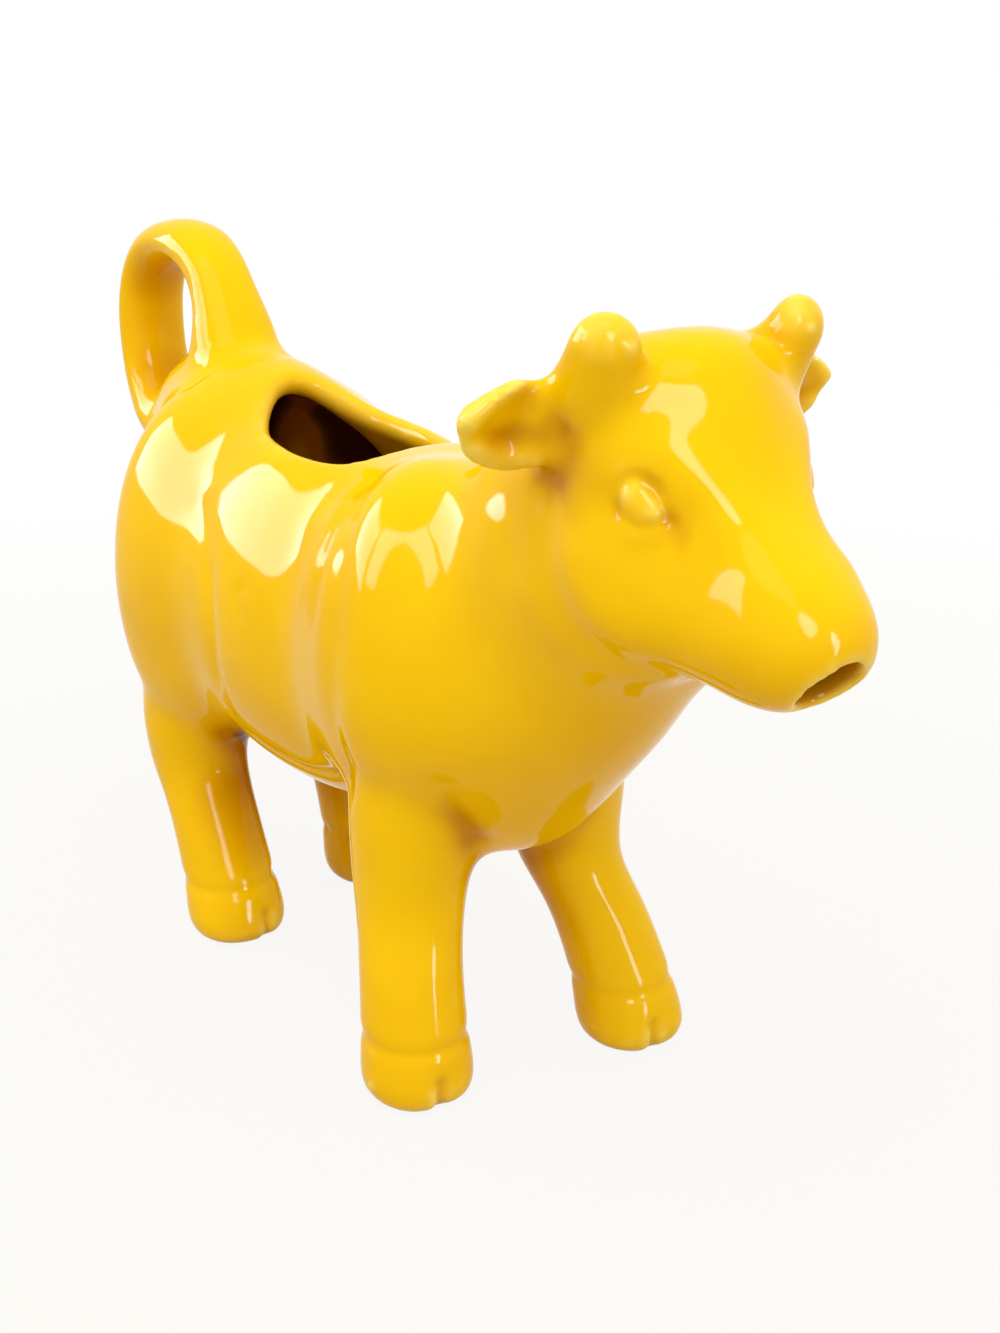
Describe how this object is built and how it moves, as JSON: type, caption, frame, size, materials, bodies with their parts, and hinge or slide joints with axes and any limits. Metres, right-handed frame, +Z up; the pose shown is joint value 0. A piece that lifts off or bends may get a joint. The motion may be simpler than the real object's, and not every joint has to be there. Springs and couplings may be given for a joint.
{
  "type": "cow creamer",
  "caption": "Glazed ceramic milk jug shaped as a standing cow, filled through an oval hole in the back, poured from the mouth and held by the curled tail.",
  "frame": {"origin": "on the table under the middle of the overall length and width", "axes": "+X the way the cow faces, +Y its left side, +Z up"},
  "size_m": [0.1807, 0.06, 0.1178],
  "materials": {
    "yellow_glaze": "glossy yellow glaze over the whole pot, paler on thin edges and brown in the folds"
  },
  "bodies": {
    "root": {"body": "yellow_glaze", "head": "yellow_glaze", "leg_front_right": "yellow_glaze", "leg_front_left": "yellow_glaze", "leg_rear_right": "yellow_glaze", "leg_rear_left": "yellow_glaze", "horn_right": "yellow_glaze", "horn_left": "yellow_glaze", "ear_right": "yellow_glaze", "ear_left": "yellow_glaze", "tail_handle": "yellow_glaze", "udder": "yellow_glaze"}
  },
  "joints": []
}
